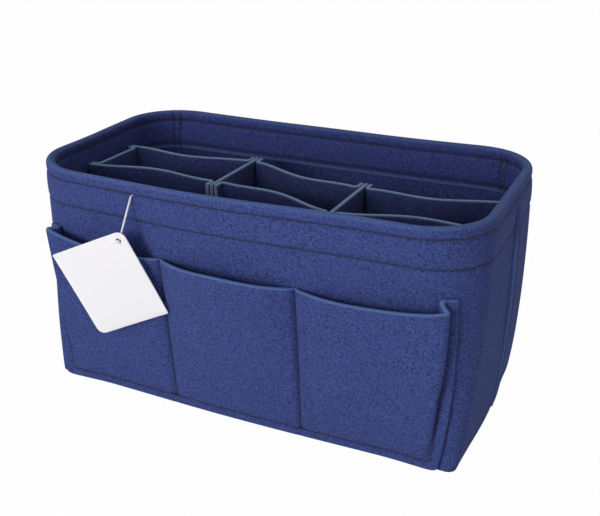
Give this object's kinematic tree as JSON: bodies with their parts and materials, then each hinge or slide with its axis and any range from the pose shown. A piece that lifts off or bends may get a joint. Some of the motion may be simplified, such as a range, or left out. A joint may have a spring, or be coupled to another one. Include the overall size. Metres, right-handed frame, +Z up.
{
  "type": "purse organizer insert",
  "caption": "Open-topped soft felt box that stands inside a handbag, with sewn pockets along its long sides and a loose inner row of cells to keep things apart.",
  "frame": {"origin": "middle of the floor panel's underside, on the surface that the organizer stands on", "axes": "+X along the length, the pocketed front with the tag faces -Y, +Z up"},
  "size_m": [0.3064, 0.1987, 0.155],
  "materials": {
    "body_felt": "thick pressed felt, navy blue with a fine mottle",
    "facing_felt": "thick pressed felt, navy blue with a fine mottle",
    "divider_felt": "thick pressed felt, navy blue, cut edges slightly paler",
    "pin_plastic": "translucent white nylon, smooth",
    "tag_card": "plain white coated card"
  },
  "bodies": {
    "shell": {"base_panel": "body_felt", "front_shell": "body_felt", "back_shell": "body_felt", "front_pocket_strip": "body_felt", "back_pocket_strip": "body_felt", "rim_facing_front": "facing_felt", "rim_facing_back": "facing_felt", "tag_pin_bar": "pin_plastic"},
    "divider": {"divider_front_1": "divider_felt", "divider_back_1": "divider_felt", "divider_front_2": "divider_felt", "divider_back_2": "divider_felt", "divider_front_3": "divider_felt", "divider_back_3": "divider_felt", "divider_cross_1": "divider_felt", "divider_cross_2": "divider_felt", "divider_cross_3": "divider_felt", "divider_cross_4": "divider_felt"},
    "filament": {"tag_filament": "pin_plastic"},
    "tag": {"hang_tag": "tag_card"}
  },
  "joints": [
    {"name": "divider_lift", "type": "slide", "parent": "shell", "child": "divider", "axis": [0, 0, 1], "range_m": [0, 0.16]},
    {"name": "tag_lift", "type": "hinge", "parent": "shell", "child": "filament", "pos_m": [-0.0605, -0.08373, 0.147], "axis": [-1, 0, 0], "range_deg": [0, 100]},
    {"name": "tag_swing", "type": "hinge", "parent": "filament", "child": "tag", "pos_m": [-0.0644, -0.09437, 0.1215], "axis": [0.2638, -0.9579, -0.1132], "range_deg": [-45, 0]}
  ]
}
